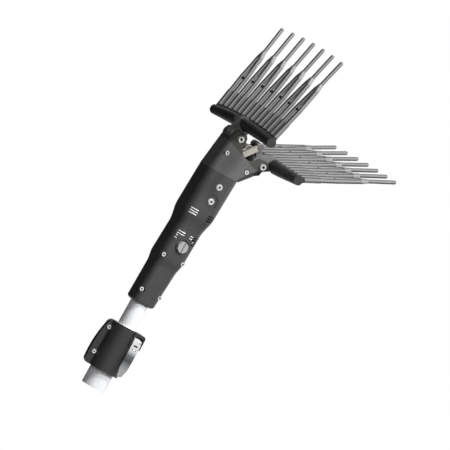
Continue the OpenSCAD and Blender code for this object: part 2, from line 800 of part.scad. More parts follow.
pivot_washer_r = pivot_d + 0.2;
pivot_washer_t = 1.6;
pivot_head_r = pivot_d * 0.83;
pivot_head_h = 4;
function pivot_seat(p) = -head_half(p[1] + pivot_washer_r) + 0.6;

module pivot_bolts() color("white") for (p = [upper_pivot, lower_pivot]) {
  seat = pivot_seat(p) - pivot_washer_t;
  difference() {
    union() {
      across(p, pivot_d / 2, seat, -pivot_seat(p) + pivot_washer_t + 6);
      across(p, pivot_head_r, seat - pivot_head_h, seat);
    }
    across(p, pivot_d * 0.48, -far, seat - 1.2, $fn = 6);
  }
}

module pivot_washers() color("silver") for (p = [upper_pivot, lower_pivot]) on_both_sides() difference() {
  across(p, pivot_washer_r, pivot_seat(p) - pivot_washer_t, pivot_seat(p));
  across(p, pivot_d / 2 + seat_gap, -far, far);
}

module pivot_nuts() color("silver") for (p = [upper_pivot, lower_pivot]) {
  seat = -pivot_seat(p) + pivot_washer_t;
  difference() {
    across(p, pivot_d * 0.92, seat, seat + pivot_d * 0.85, $fn = 6);
    across(p, pivot_d / 2 + run_gap, -far, far);
  }
}

// Gear frame and yoke guide

module gear_frame() color("darkgray") difference() {
  plate_h = top_plate_z + top_plate_t - frame_foot;
  union() {
    translate([drive_x - frame_x, -frame_y, frame_foot])
      cube([frame_x * 2, frame_y - near_plate_y, plate_h]);
    translate([drive_x - frame_x, far_plate_y, frame_foot])
      cube([frame_x * 2, frame_y - far_plate_y, plate_h]);
    translate([drive_x - frame_x, -frame_y, top_plate_z]) cube([frame_x * 2, frame_y * 2, top_plate_t]);
    translate([drive_x - frame_x, yoke_y[1] + 2, frame_foot])
      cube([frame_x * 2, frame_y - yoke_y[1] - 2, foot_plate_t]);
  }
  across([drive_x, crank_z], crank_race_r + seat_gap / 2, far_plate_y + 0.4, frame_y - 1);
  across([drive_x, crank_z], journal_r + 1.5, 0, far);
  translate([drive_x, 0, frame_foot - 1]) cylinder(r = pinion_r + 2.5, h = foot_plate_t + 3);
  translate([drive_x - stem_w / 2 - 3, yoke_y[0] - 1.5, top_plate_z - 1])
    cube([stem_w + 6, yoke_y[1] - yoke_y[0] + 3, top_plate_t + 2]);
  for (h = frame_screw_h) across([frame_screw_x, case_z + h], frame_screw_d / 2 + seat_gap, -far, 0);
}

module yoke_guide() color("whitesmoke") difference() {
  translate([drive_x - stem_w / 2 - 2.9, yoke_y[0] - 1.4, top_plate_z])
    cube([stem_w + 5.8, yoke_y[1] - yoke_y[0] + 2.8, top_plate_t]);
  translate([drive_x - stem_w / 2 - run_gap, yoke_y[0] - run_gap, top_plate_z - 1])
    cube([stem_w + 2 * run_gap, yoke_y[1] - yoke_y[0] + 2 * run_gap, top_plate_t + 2]);
}

// Motor, fixed pieces

module motor_can() color("silver") translate([drive_x, 0, can_z]) difference() {
  cylinder(r = motor_r, h = can_h);
  translate([0, 0, -1]) cylinder(r = motor_r - can_wall, h = can_h + 2);
}

module motor_magnets() color("dimgray") translate([drive_x, 0, can_z + magnet_inset]) intersection() {
  difference() {
    cylinder(r = motor_r - can_wall - seat_gap, h = can_h - 2 * magnet_inset);
    translate([0, 0, -1]) cylinder(r = motor_r - can_wall - magnet_t, h = can_h);
  }
  union() {
    translate([motor_r / 3, -motor_r * 0.62, -1]) cube([motor_r, motor_r * 1.24, can_h]);
    translate([-motor_r * 4 / 3, -motor_r * 0.62, -1]) cube([motor_r, motor_r * 1.24, can_h]);
  }
}

module motor_end_bell() color([0.1, 0.1, 0.1]) difference() {
  translate([drive_x, 0, bell_z]) cylinder(r = motor_r, h = bell_h);
  translate([drive_x, 0, bell_z + bearing_t + 0.6]) cylinder(r = motor_r - 6, h = far);
  translate([drive_x, 0, bell_z - 1]) cylinder(r = shaft_r + 1, h = far);
  translate([drive_x, 0, bell_z + 0.6]) cylinder(r = motor_race_r + seat_gap / 2, h = far);
  across([drive_x, brush_z], holder_r + seat_gap, -far, far);
}

module motor_front_plate() color("silver") translate([drive_x, 0, plate_z]) difference() {
  union() {
    cylinder(r = motor_r, h = plate_t);
    translate([0, 0, -bearing_t + plate_t - 1]) cylinder(r = motor_race_r + 2, h = bearing_t);
  }
  translate([0, 0, -bearing_t]) cylinder(r = motor_race_r + seat_gap / 2, h = bearing_t + plate_t - 1);
  cylinder(r = shaft_r + 1, h = far);
}

module brush_holders() color("goldenrod") on_both_sides() difference() {
  across([drive_x, brush_z], holder_r, -holder_end, -motor_r + 7);
  across([drive_x, brush_z], holder_bore, -far, 0);
}

module carbon_brushes() color([0.15, 0.15, 0.15]) on_both_sides() difference() {
  across([drive_x, brush_z], holder_bore - run_gap, -holder_end + 5, -commutator_r + 1);
  translate([drive_x, 0, case_z]) cylinder(r = commutator_r + run_gap, h = far);
}

module brush_caps() color("lightgray") on_both_sides() difference() {
  union() {
    across([drive_x, brush_z], brush_cap_d / 2 - 0.8, -cap_face, -brush_seat);
    across([drive_x, brush_z], brush_cap_d / 2, -cap_face + 0.8, -brush_seat);
    across([drive_x, brush_z], holder_bore - run_gap, -cap_face + 0.8, -holder_end + 5);
  }
  translate([drive_x - 1.3, -cap_face - 1, brush_z - far / 2]) cube([2.6, 3.2, far]);
}

// Two bearings on the motor shaft and two behind the crown gear
module ball_bearings() color("silver") {
  for (z = [bell_z + 0.6, plate_z + plate_t - 1 - bearing_t]) translate([drive_x, 0, z]) difference() {
    cylinder(r = motor_race_r, h = bearing_t - 0.6);
    translate([0, 0, -1]) cylinder(r = shaft_r + run_gap, h = far);
  }
  room = (frame_y - 1 - far_plate_y - 0.4) / 2;
  for (start = [far_plate_y + 0.4, far_plate_y + 0.4 + room]) difference() {
    across([drive_x, crank_z], crank_race_r, start + 0.1, start + room - 0.1);
    across([drive_x, crank_z], journal_r + run_gap, 0, far);
  }
}

// Motor, turning pieces

module rotor_shaft() color("lightgray") translate([drive_x, 0, bell_z + 0.8])
  cylinder(r = shaft_r, h = pinion_z + face_w - bell_z - 0.8);

module rotor_core() color("slategray") translate([drive_x, 0, can_z + core_inset]) difference() {
  cylinder(r = core_r, h = can_h - 2 * core_inset);
  for (k = [0 : 6]) rotate([0, 0, k * 360 / 7]) translate([core_r - 3, -1, -1]) cube([far, 2, far]);
  translate([0, 0, -1]) cylinder(r = shaft_r + seat_gap / 2, h = far);
}

module rotor_windings() color("peru") translate([drive_x, 0, 0])
  for (z = [can_z + core_inset - winding_h - 0.2, can_z + can_h - core_inset + 0.2]) translate([0, 0, z])
    rotate_extrude() polygon([[shaft_r + 0.4, 0], [core_r - 4, 0], [core_r - 2, 2], [core_r - 2, winding_h],
      [shaft_r + 0.4, winding_h]]);

module commutator() color("orange") translate([drive_x, 0, brush_z - 6]) difference() {
  cylinder(r = commutator_r, h = 12);
  for (k = [0 : 6]) rotate([0, 0, k * 360 / 7]) translate([commutator_r - 1, -0.3, -1]) cube([2, 0.6, far]);
  translate([0, 0, -1]) cylinder(r = shaft_r + seat_gap / 2, h = far);
}

module cooling_fan() color([0.12, 0.12, 0.12]) translate([drive_x, 0, fan_z]) difference() {
  union() {
    cylinder(r = fan_r, h = 1.2);
    cylinder(r = shaft_r + 3, h = fan_h);
    for (k = [0 : 8]) rotate([0, 0, k * 40]) translate([shaft_r + 2, -0.6, 0])
      cube([fan_r - shaft_r - 2.4, 1.2, fan_h]);
  }
  translate([0, 0, -1]) cylinder(r = shaft_r + seat_gap / 2, h = far);
}

// Outline of the pinion at its large end, one trapezoid tooth after another
function pinion_points() = [for (k = [0 : pinion_teeth - 1])
  let (mid = 90 + k * 360 / pinion_teeth, step = 360 / pinion_teeth)
  each [for (s = [[-0.5, -tooth_ded], [-tooth_share / 2 - 0.1, -tooth_ded],
      [-tooth_share / 2 + 0.1, tooth_add], [tooth_share / 2 - 0.1, tooth_add],
      [tooth_share / 2 + 0.1, -tooth_ded]])
    let (a = mid + s[0] * step, r = pinion_r + s[1]) [r * cos(a), r * sin(a)]]];

module bevel_pinion() color("gray") difference() {
  translate([drive_x, 0, pinion_z])
    linear_extrude(height = face_w, scale = 1 - face_w / gear_r) polygon(pinion_points());
  translate([drive_x, 0, 0]) cylinder(r = shaft_r + seat_gap / 2, h = far * 3);
}

module crown_gear() color("gray") difference() {
  root = pinion_r + tooth_ded;
  tooth = tooth_share * 2 * PI * (gear_r - face_w) / gear_teeth;
  union() {
    across([drive_x, crank_z], gear_r + 1, root, root + gear_disc_t);
    translate([drive_x, 0, crank_z]) for (k = [0 : gear_teeth - 1])
      rotate([0, (k + 0.5) * 360 / gear_teeth, 0]) translate([0, 0, -gear_r])
        linear_extrude(face_w) polygon([[-tooth / 2, root + 0.4],
          [-tooth / 2 + 0.25, pinion_r - tooth_add + 0.9], [tooth / 2 - 0.25, pinion_r - tooth_add + 0.9],
          [tooth / 2, root + 0.4]]);
  }
  across([drive_x, crank_z], journal_r + seat_gap / 2, 0, far);
}

module crank_shaft() color("lightgray") {
  across([drive_x, crank_z], journal_r, web_y[1] - 1, frame_y - 1.4);
  across([drive_x, crank_z], crank_throw + pin_r + 1.5, web_y[0], web_y[1]);
  across([drive_x + crank_throw, crank_z], pin_r, yoke_y[0] - pass_gap, web_y[0] + 1);
}

// Yoke, links and pins

module drive_yoke() color("lightgray") difference() {
  union() {
    across([drive_x, crank_z], window_r + yoke_rim, yoke_y[0], yoke_y[1]);
    translate([drive_x - stem_w / 2, yoke_y[0], crank_z + window_r + 1])
      cube([stem_w, yoke_y[1] - yoke_y[0], crosshead[1] - crank_z - window_r - 1]);
    across(crosshead, pin_r + eye_wall, yoke_y[0], yoke_y[1]);
  }
  across([drive_x, crank_z], window_r, -far, 0);
  across(crosshead, pin_r + seat_gap / 2, -far, 0);
}

module crosshead_pin() color("silver") {
  across(crosshead, pin_r, yoke_y[0] - 0.4, upper_link_y[1] + 0.4);
  across(crosshead, pin_r + 1.4, yoke_y[0] - 1.6, yoke_y[0] - 0.1);
}

// Straight bar of link width between two places, within a layer
module strip(a, b, layer) {
  along = (b - a) / norm(b - a);
  side = [along[1], -along[0]] * link_w / 2;
  slab([a + side, b + side, b - side, a - side], layer[0], layer[1]);
}

// Straight link from the crosshead to a comb pin, with a running eye and a loose eye
module link(end, layer, tip_r) difference() {
  span = end - crosshead;
  union() {
    across(crosshead, pin_r + eye_wall, layer[0], layer[1]);
    across(end, tip_r, layer[0], layer[1]);
    strip(crosshead + span * 0.04, end - span * 0.03, layer);
  }
  across(crosshead, pin_r + run_gap, -far, far);
  across(end, pin_r + link_play, -far, far);
}

module lower_link() color([0.8, 0.78, 0.72]) link(lower_pin, lower_link_y, pin_r + link_play + 1.9);
module upper_link() color([0.7, 0.7, 0.68]) link(upper_pin, upper_link_y, pin_r + link_play + 1.9);

module lower_drive_pin() color("silver") {
  across(lower_pin, pin_r, lower_link_y[0] - 0.5, ring_b_y[1] + 1);
  across(lower_pin, pin_r + 1.3, lower_link_y[0] - 1.5, lower_link_y[0] - 0.4);
}

module upper_drive_pin() color("silver") {
  across(upper_pin, pin_r, upper_link_y[0] - 0.3, upper_horn_y[1] + 0.5);
}

module drive_pin_rings() for (y = [ring_a_y, spacer_y, ring_b_y]) color([0.08, 0.08, 0.08]) difference() {
  across(lower_pin, pin_r + (y == spacer_y ? 1.6 : 2.4), y[0], y[1]);
  across(lower_pin, pin_r + seat_gap / 2, -far, far);
}

// Combs. An arm is drawn from its pivot with the tines along +Z, a bar and its tines from the bar's centre

module place_comb(pivot, angle) translate([pivot[0], 0, pivot[1]]) rotate([0, angle, 0]) children();
module place_upper() place_comb(upper_pivot, upper_angle) children();
module place_lower() place_comb(lower_pivot, lower_angle) children();
module on_upper_bar() place_upper() translate([0, 0, upper_arm_l]) children();
module on_lower_bar() place_lower() translate([0, 0, lower_arm_l]) children();

// Hub, arm and band of one casting; side is 1 where the horn points to +X of the tines
module comb_arm(side, arm, horn, layer) difference() {
  band_r = bar_d / 2 + band_wall;
  tip = horn * aim(side * horn_turn);
  union() {
    across([0, 0], hub_r, -hub_y, hub_y);
    across([0, arm], band_r, -hub_y, hub_y);
    slab([[-hub_r + 0.2, 1], [-band_r + 0.2, arm], [band_r - 0.2, arm], [hub_r - 0.2, 1]], -hub_y, hub_y);
    across(tip, pin_r + eye_wall, layer[0], layer[1]);
    strip(tip * 0.1, tip * 0.97, layer);
  }
  across([0, 0], bush_hole_r, -far, far);
  across(tip, pin_r + seat_gap / 2, -far, far);
  across([0, arm], bar_d / 2 + seat_gap, -far, far);
  for (leg = [-1, 1]) translate([0, leg * leg_spread / 2, arm])
    cylinder(r = leg_r + boss_wall + seat_gap, h = far);
}

module comb_bush() difference() {
  across([0, 0], bush_hole_r - seat_gap / 2, -hub_y - 0.2, hub_y + 0.2);
  across([0, 0], pivot_d / 2 + run_gap, -far, far);
}

// Section of a bar at a depth, swollen on its pivot side and on the side away from the other comb
function bar_ring(side, y) = [for (j = [0 : bar_sides - 1])
  let (a = 360 * j / bar_sides,
    out = side * cos(a) < 0 ? outer_swell(y) : 0,
    back = sin(a) < 0 ? back_swell(y) : 0)
  [(bar_d / 2 + out) * cos(a), y, bar_drop(y) + (bar_d / 2 + back) * sin(a)]];
wing_levels = [for (k = [0 : bar_steps]) bar_shoulder + 1 + (half_bar - bar_shoulder - 1) * k / bar_steps];
bar_levels = concat(-reversed(wing_levels), [-bar_shoulder, bar_shoulder], wing_levels);

// Bowed round bar with a boss at each leg
module comb_bar(side) difference() {
  union() {
    loft_solid([for (y = bar_levels) bar_ring(side, y)]);
    each_leg() translate([0, 0, 2]) cylinder(r = leg_r + boss_wall, h = boss_reach - 2);
  }
  each_leg() translate([0, 0, leg_foot]) cylinder(r = leg_r + seat_gap, h = far);
}

module each_tine() for (k = [-half_count : half_count])
  translate([0, k * tine_pitch, bar_drop(k * tine_pitch)]) rotate([-k * tine_fan, 0, 0]) children();

module each_leg() each_tine() for (leg = [-1, 1]) translate([0, leg * leg_spread / 2, 0]) children();

// Upper end of a leg, with +Z along the leg
module leg_end(leg) translate([0, leg * leg_close / 2, leg_reach]) rotate([leg * leg_lean, 0, 0]) children();

module comb_sleeves() each_leg() translate([0, 0, boss_reach]) difference() {
  cylinder(r = sleeve_d / 2, h = sleeve_reach - boss_reach);
  translate([0, 0, -1]) cylinder(r = leg_r + seat_gap / 2, h = far);
}

// A leg runs straight to its bend, then a hair thinner it leans in to the ferrule and ends in a pin
module comb_legs() each_tine() for (leg = [-1, 1]) {
  lean_l = (leg_reach - bend_reach) / cos(leg_lean);
  translate([0, leg * leg_spread / 2, leg_foot]) cylinder(r = leg_r, h = bend_reach - leg_foot);
  leg_end(leg) translate([0, 0, -lean_l - bend_lap]) cylinder(r = leg_r - bend_step, h = lean_l + bend_lap);
  leg_end(leg) translate([0, 0, -1]) cylinder(r = leg_pin_r, h = leg_pin_l + 1);
}

// Short round stay between the two legs, hollowed to fit them, just under the bend
module comb_stays() each_tine() difference() {
  across([0, bend_reach - stay_r - 1], stay_r, -leg_spread / 2 + leg_r / 2, leg_spread / 2 - leg_r / 2);
  for (leg = [-1, 1]) translate([0, leg * leg_spread / 2, 0]) cylinder(r = leg_r + seat_gap / 2, h = far);
}

// Flat tapered joint that turns two legs into one tip
module comb_ferrules() each_tine() difference() {
  hull() {
    for (leg = [-1, 1]) leg_end(leg) cylinder(r = leg_r, h = 0.4, $fn = 32);
    translate([0, 0, leg_reach + cone_l - 0.4]) cylinder(r = tip_r + 0.5, h = 0.4, $fn = 32);
  }
  for (leg = [-1, 1]) leg_end(leg) translate([0, 0, -1])
    cylinder(r = leg_pin_r + seat_gap / 2, h = leg_pin_l + 1.1);
  translate([0, 0, leg_reach + tip_foot]) cylinder(r = tip_r + seat_gap / 2, h = far);
}

module comb_tips() each_tine() translate([0, 0, leg_reach + tip_foot]) {
  straight = tine_reach - tip_r - leg_reach - tip_foot;
  cylinder(r = tip_r, h = straight);
  translate([0, 0, straight]) sphere(tip_r);
}

module upper_arm() color("dimgray") place_upper() comb_arm(1, upper_arm_l, upper_horn, upper_horn_y);
module upper_bar() color([0.16, 0.16, 0.16]) on_upper_bar() comb_bar(1);
module upper_sleeves() color("gray") on_upper_bar() comb_sleeves();
module upper_legs() color("darkgray") on_upper_bar() comb_legs();
module upper_stays() color([0.1, 0.1, 0.1]) on_upper_bar() comb_stays();
module upper_ferrules() color("silver") on_upper_bar() comb_ferrules();
module upper_tips() color("gray") on_upper_bar() comb_tips();
module upper_pivot_bush() color("goldenrod") place_upper() comb_bush();
module lower_arm() color("dimgray") place_lower() comb_arm(-1, lower_arm_l, lower_horn, lower_horn_y);
module lower_bar() color([0.16, 0.16, 0.16]) on_lower_bar() comb_bar(-1);
module lower_sleeves() color("gray") on_lower_bar() comb_sleeves();
module lower_legs() color("darkgray") on_lower_bar() comb_legs();
module lower_stays() color([0.1, 0.1, 0.1]) on_lower_bar() comb_stays();
module lower_ferrules() color("silver") on_lower_bar() comb_ferrules();
module lower_tips() color("gray") on_lower_bar() comb_tips();
module lower_pivot_bush() color("goldenrod") place_lower() comb_bush();

outer_tube();
clamp_near();
clamp_far();
clamp_screws();
tube_bush();
draw_bolt();
lever_pin();
clamp_lever();
inner_tube();
tube_guide_ring();
casing_near();
casing_far();
casing_screws();
head_near();
head_far();
frame_screws();
pivot_bolts();
pivot_washers();
pivot_nuts();
gear_frame();
motor_can();
motor_magnets();
motor_end_bell();
motor_front_plate();
brush_holders();
carbon_brushes();
brush_caps();
ball_bearings();
yoke_guide();
rotor_shaft();
rotor_core();
rotor_windings();
commutator();
cooling_fan();
bevel_pinion();
crank_shaft();
crown_gear();
drive_yoke();
crosshead_pin();
lower_link();
upper_link();
lower_arm();
lower_bar();
lower_sleeves();
lower_legs();
lower_stays();
lower_ferrules();
lower_tips();
lower_pivot_bush();
lower_drive_pin();
drive_pin_rings();
upper_arm();
upper_bar();
upper_sleeves();
upper_legs();
upper_stays();
upper_ferrules();
upper_tips();
upper_pivot_bush();
upper_drive_pin();
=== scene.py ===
import math

import bpy
from mathutils import Matrix, Vector


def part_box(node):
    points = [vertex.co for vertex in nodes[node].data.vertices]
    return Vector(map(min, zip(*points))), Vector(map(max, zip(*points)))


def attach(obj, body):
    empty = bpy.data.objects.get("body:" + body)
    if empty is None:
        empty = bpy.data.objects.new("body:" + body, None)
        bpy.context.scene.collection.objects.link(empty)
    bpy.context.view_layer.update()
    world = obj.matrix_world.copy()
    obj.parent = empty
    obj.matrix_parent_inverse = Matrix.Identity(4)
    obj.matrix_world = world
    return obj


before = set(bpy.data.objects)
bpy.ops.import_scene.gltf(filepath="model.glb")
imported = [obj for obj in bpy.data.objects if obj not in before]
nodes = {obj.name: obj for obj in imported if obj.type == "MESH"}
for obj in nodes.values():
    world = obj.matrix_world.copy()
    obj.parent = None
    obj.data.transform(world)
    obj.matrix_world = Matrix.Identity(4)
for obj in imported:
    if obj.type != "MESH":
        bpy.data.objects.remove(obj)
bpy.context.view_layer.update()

scene = bpy.context.scene


# Node helpers

# Most of a noise texture's values lie between these two
NOISE_LOW = 0.3
NOISE_HIGH = 0.7


def link(tree, source, target):
    tree.links.new(source, target)


def texture_noise(tree, scale, detail=3.0, stretch=(1.0, 1.0, 1.0)):
    place = tree.nodes.new("ShaderNodeTexCoord")
    mapping = tree.nodes.new("ShaderNodeMapping")
    mapping.inputs["Scale"].default_value = stretch
    noise = tree.nodes.new("ShaderNodeTexNoise")
    noise.inputs["Scale"].default_value = scale
    noise.inputs["Detail"].default_value = detail
    link(tree, place.outputs["Object"], mapping.inputs["Vector"])
    link(tree, mapping.outputs["Vector"], noise.inputs["Vector"])
    return noise.outputs["Fac"]


def ramp(tree, source, stops):
    node = tree.nodes.new("ShaderNodeValToRGB")
    elements = node.color_ramp.elements
    elements[0].position, elements[0].color = stops[0][0], (*stops[0][1], 1.0)
    elements[1].position, elements[1].color = stops[1][0], (*stops[1][1], 1.0)
    for place, colour in stops[2:]:
        extra = elements.new(place)
        extra.color = (*colour, 1.0)
    link(tree, source, node.inputs["Fac"])
    return node.outputs["Color"]


def spread(tree, source, low, high):
    node = tree.nodes.new("ShaderNodeMapRange")
    node.inputs["From Min"].default_value = NOISE_LOW
    node.inputs["From Max"].default_value = NOISE_HIGH
    node.inputs["To Min"].default_value = low
    node.inputs["To Max"].default_value = high
    link(tree, source, node.inputs["Value"])
    return node.outputs["Result"]


def bump(tree, shader, height, strength, distance):
    node = tree.nodes.new("ShaderNodeBump")
    node.inputs["Strength"].default_value = strength
    node.inputs["Distance"].default_value = distance
    link(tree, height, node.inputs["Height"])
    link(tree, node.outputs["Normal"], shader.inputs["Normal"])


def shades(colour, change):
    dark = tuple(c * (1.0 - change) for c in colour)
    light = tuple(min(1.0, c * (1.0 + change)) for c in colour)
    return dark, light


def material(name):
    made = bpy.data.materials.new(name)
    made.use_nodes = True
    return made, made.node_tree, made.node_tree.nodes["Principled BSDF"]


# Noise in plastic and rubber, in cells a metre, and the depth of the moulded grain in metres
MOTTLE_SCALE = 32.0
GLOSS_SCALE = 60.0
GRAIN_SCALE = 900.0
GRAIN_DEPTH = 0.00005


# Colour that wanders slowly about a middle tone
def mottled(tree, colour, change):
    dark, light = shades(colour, change)
    return ramp(tree, texture_noise(tree, MOTTLE_SCALE, 4.0), [(NOISE_LOW, dark), (NOISE_HIGH, light)])


# Uneven gloss and fine moulded grain
def moulded(tree, shader, rough):
    uneven = spread(tree, texture_noise(tree, GLOSS_SCALE), rough - 0.05, rough + 0.05)
    link(tree, uneven, shader.inputs["Roughness"])
    bump(tree, shader, texture_noise(tree, GRAIN_SCALE, 2.0), 0.35, GRAIN_DEPTH)


# Moulded plastic: fine grain in the bump, slow mottling in colour and gloss
def plastic(name, colour, rough, gloss=0.3, mottle=0.1):
    made, tree, shader = material(name)
    shader.inputs["Specular IOR Level"].default_value = gloss
    link(tree, mottled(tree, colour, mottle), shader.inputs["Base Color"])
    moulded(tree, shader, rough)
    return made


# Plastic with a darker tone beyond a line across its face, given as a slope and a level in metres
def two_tone(name, colour, beyond, rough, gloss, slope, level):
    made = plastic(name, colour, rough, gloss)
    tree = made.node_tree
    shader = tree.nodes["Principled BSDF"]
    near_tone = shader.inputs["Base Color"].links[0].from_socket
    far_tone = mottled(tree, beyond, 0.1)
    place = tree.nodes.new("ShaderNodeTexCoord")
    along = tree.nodes.new("ShaderNodeVectorMath")
    along.operation = "DOT_PRODUCT"
    along.inputs[1].default_value = (math.sin(slope), 0.0, math.cos(slope))
    step = tree.nodes.new("ShaderNodeMath")
    step.operation = "GREATER_THAN"
    step.inputs[1].default_value = level
    mix = tree.nodes.new("ShaderNodeMixRGB")
    link(tree, place.outputs["Object"], along.inputs[0])
    link(tree, along.outputs["Value"], step.inputs[0])
    link(tree, step.outputs["Value"], mix.inputs["Fac"])
    link(tree, near_tone, mix.inputs["Color1"])
    link(tree, far_tone, mix.inputs["Color2"])
    link(tree, mix.outputs["Color"], shader.inputs["Base Color"])
    return made


# Rubber rings with a paler spacer between two depths
def ringed(name, dark, pale, rough, front, back):
    made, tree, shader = material(name)
    place = tree.nodes.new("ShaderNodeTexCoord")
    axes = tree.nodes.new("ShaderNodeSeparateXYZ")
    depth = tree.nodes.new("ShaderNodeMapRange")
    margin = 0.01
    depth.inputs["From Min"].default_value = front - margin
    depth.inputs["From Max"].default_value = back + margin
    begins = margin / (back - front + 2.0 * margin)
    ends = 1.0 - begins
    edge = 0.002
    link(tree, place.outputs["Object"], axes.inputs["Vector"])
    link(tree, axes.outputs["Y"], depth.inputs["Value"])
    tone = ramp(tree, depth.outputs["Result"], [
        (0.0, dark), (1.0, dark), (begins - edge, dark), (begins, pale), (ends, pale), (ends + edge, dark)])
    link(tree, tone, shader.inputs["Base Color"])
    moulded(tree, shader, rough)
    return made


# Metal: streaks along one axis in colour, gloss and bump
def metal(name, colour, rough, stretch=(1.0, 1.0, 1.0), scale=300.0, depth=0.00001, change=0.05, purity=1.0):
    made, tree, shader = material(name)
    shader.inputs["Metallic"].default_value = purity
    streaks = texture_noise(tree, scale, 3.0, stretch)
    dark, light = shades(colour, change)
    link(tree, ramp(tree, streaks, [(NOISE_LOW, dark), (NOISE_HIGH, light)]), shader.inputs["Base Color"])
    link(tree, spread(tree, streaks, rough - 0.04, rough + 0.06), shader.inputs["Roughness"])
    bump(tree, shader, streaks, 0.2, depth)
    return made


# Drawn tube: metal with faint, slow streaks
def tube(name, colour, rough, purity):
    return metal(name, colour, rough, scale=12.0, change=0.04, purity=purity)


# Bowed chrome with a painted reflection: bright at both ends of the lever and painted dark along its middle,
# by height
def chrome_painted_reflection(name, foot, top):
    made, tree, shader = material(name)
    shader.inputs["Metallic"].default_value = 0.6
    place = tree.nodes.new("ShaderNodeTexCoord")
    axes = tree.nodes.new("ShaderNodeSeparateXYZ")
    height = tree.nodes.new("ShaderNodeMapRange")
    height.inputs["From Min"].default_value = foot
    height.inputs["From Max"].default_value = top
    link(tree, place.outputs["Object"], axes.inputs["Vector"])
    link(tree, axes.outputs["Z"], height.inputs["Value"])
    # Painted reflection: bright at the foot, dark through the middle and bright again at the top
    shade = ramp(tree, height.outputs["Result"], [
        (0.0, (0.86, 0.86, 0.87)), (1.0, (0.9, 0.9, 0.9)), (0.2, (0.6, 0.61, 0.62)),
        (0.42, (0.1, 0.105, 0.11)), (0.56, (0.2, 0.21, 0.22)), (0.68, (0.8, 0.8, 0.81))])
    link(tree, shade, shader.inputs["Base Color"])
    streaks = texture_noise(tree, 160.0, 3.0, (1.0, 1.0, 0.06))
    link(tree, spread(tree, streaks, 0.14, 0.24), shader.inputs["Roughness"])
    bump(tree, shader, streaks, 0.15, 0.00001)
    return made


CHARCOAL = (0.053, 0.053, 0.054)
HEAD_GREY = (0.096, 0.096, 0.097)
OLIVE_GREY = (0.056, 0.055, 0.05)
# Line across the head's face where its tone changes: slope, and level in metres
HEAD_SLOPE = math.radians(18.4)
HEAD_LEVEL = 0.4188
# Depths in metres between which the rings on the drive pin have their pale spacer
SPACER_FRONT = 0.00535
SPACER_BACK = 0.00925
lever_foot, lever_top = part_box("clamp_lever")
looks = {
    "pole": metal("pole_aluminium", (0.93, 0.94, 0.96), 0.34, (1.0, 1.0, 0.02), 120.0, 0.000004, 0.03, 0.15),
    "clamp": plastic("clamp_plastic", (0.03, 0.03, 0.031), 0.34, 0.65),
    "casing": plastic("casing_plastic", CHARCOAL, 0.38, 0.5),
    "head": two_tone("head_plastic", HEAD_GREY, OLIVE_GREY, 0.4, 0.4, HEAD_SLOPE, HEAD_LEVEL),
    "bright": metal("bright_steel", (0.9, 0.9, 0.89), 0.24, (1.0, 0.1, 1.0), purity=0.6),
    "chrome": chrome_painted_reflection("lever_chrome", lever_foot[2], lever_top[2]),
    "guide": plastic("guide_plastic", (0.72, 0.72, 0.7), 0.4),
    "alloy": metal("frame_alloy", (0.6, 0.61, 0.62), 0.42),
    "steel": metal("motor_steel", (0.55, 0.55, 0.55), 0.32),
    "ferrite": plastic("magnet_ferrite", (0.03, 0.03, 0.03), 0.6),
    "bell": plastic("motor_plastic", (0.03, 0.03, 0.03), 0.35),
    "brass": metal("brass", (0.72, 0.55, 0.24), 0.3),
    "carbon": plastic("carbon", (0.03, 0.03, 0.03), 0.55),
    "cap": plastic("cap_plastic", (0.36, 0.36, 0.352), 0.38, mottle=0.06),
    "copper": metal("copper", (0.72, 0.36, 0.2), 0.35),
    "gear": metal("gear_steel", (0.45, 0.45, 0.46), 0.3),
    "washer": metal("washer_steel", (0.2, 0.2, 0.2), 0.35, purity=0.6),
    "link": metal("link_alloy", (0.46, 0.44, 0.39), 0.42, purity=0.35),
    "arm": metal("arm_alloy", (0.17, 0.17, 0.168), 0.46, purity=0.2),
    "bar": plastic("bar_plastic", (0.036, 0.036, 0.037), 0.4, 0.3),
    "bronze": metal("bush_bronze", (0.55, 0.4, 0.2), 0.4),
    "rings": ringed("ring_rubber", (0.018, 0.018, 0.018), (0.3, 0.29, 0.26), 0.55, SPACER_FRONT, SPACER_BACK),
    "stay": plastic("stay_plastic", (0.05, 0.05, 0.05), 0.4, 0.3, mottle=0.06),
    "tine": tube("tine_tube", (0.5, 0.5, 0.505), 0.28, 0.9),
    "sleeve": tube("sleeve_tube", (0.47, 0.47, 0.475), 0.3, 0.9),
    "ferrule": tube("ferrule_cone", (0.55, 0.55, 0.55), 0.28, 0.75),
    "painted_vent_light": plastic("painted_vent_light_plastic", (0.86, 0.86, 0.85), 0.4, mottle=0.04),
    "socket": plastic("socket_shadow", (0.02, 0.02, 0.02), 0.5, 0.15),
}
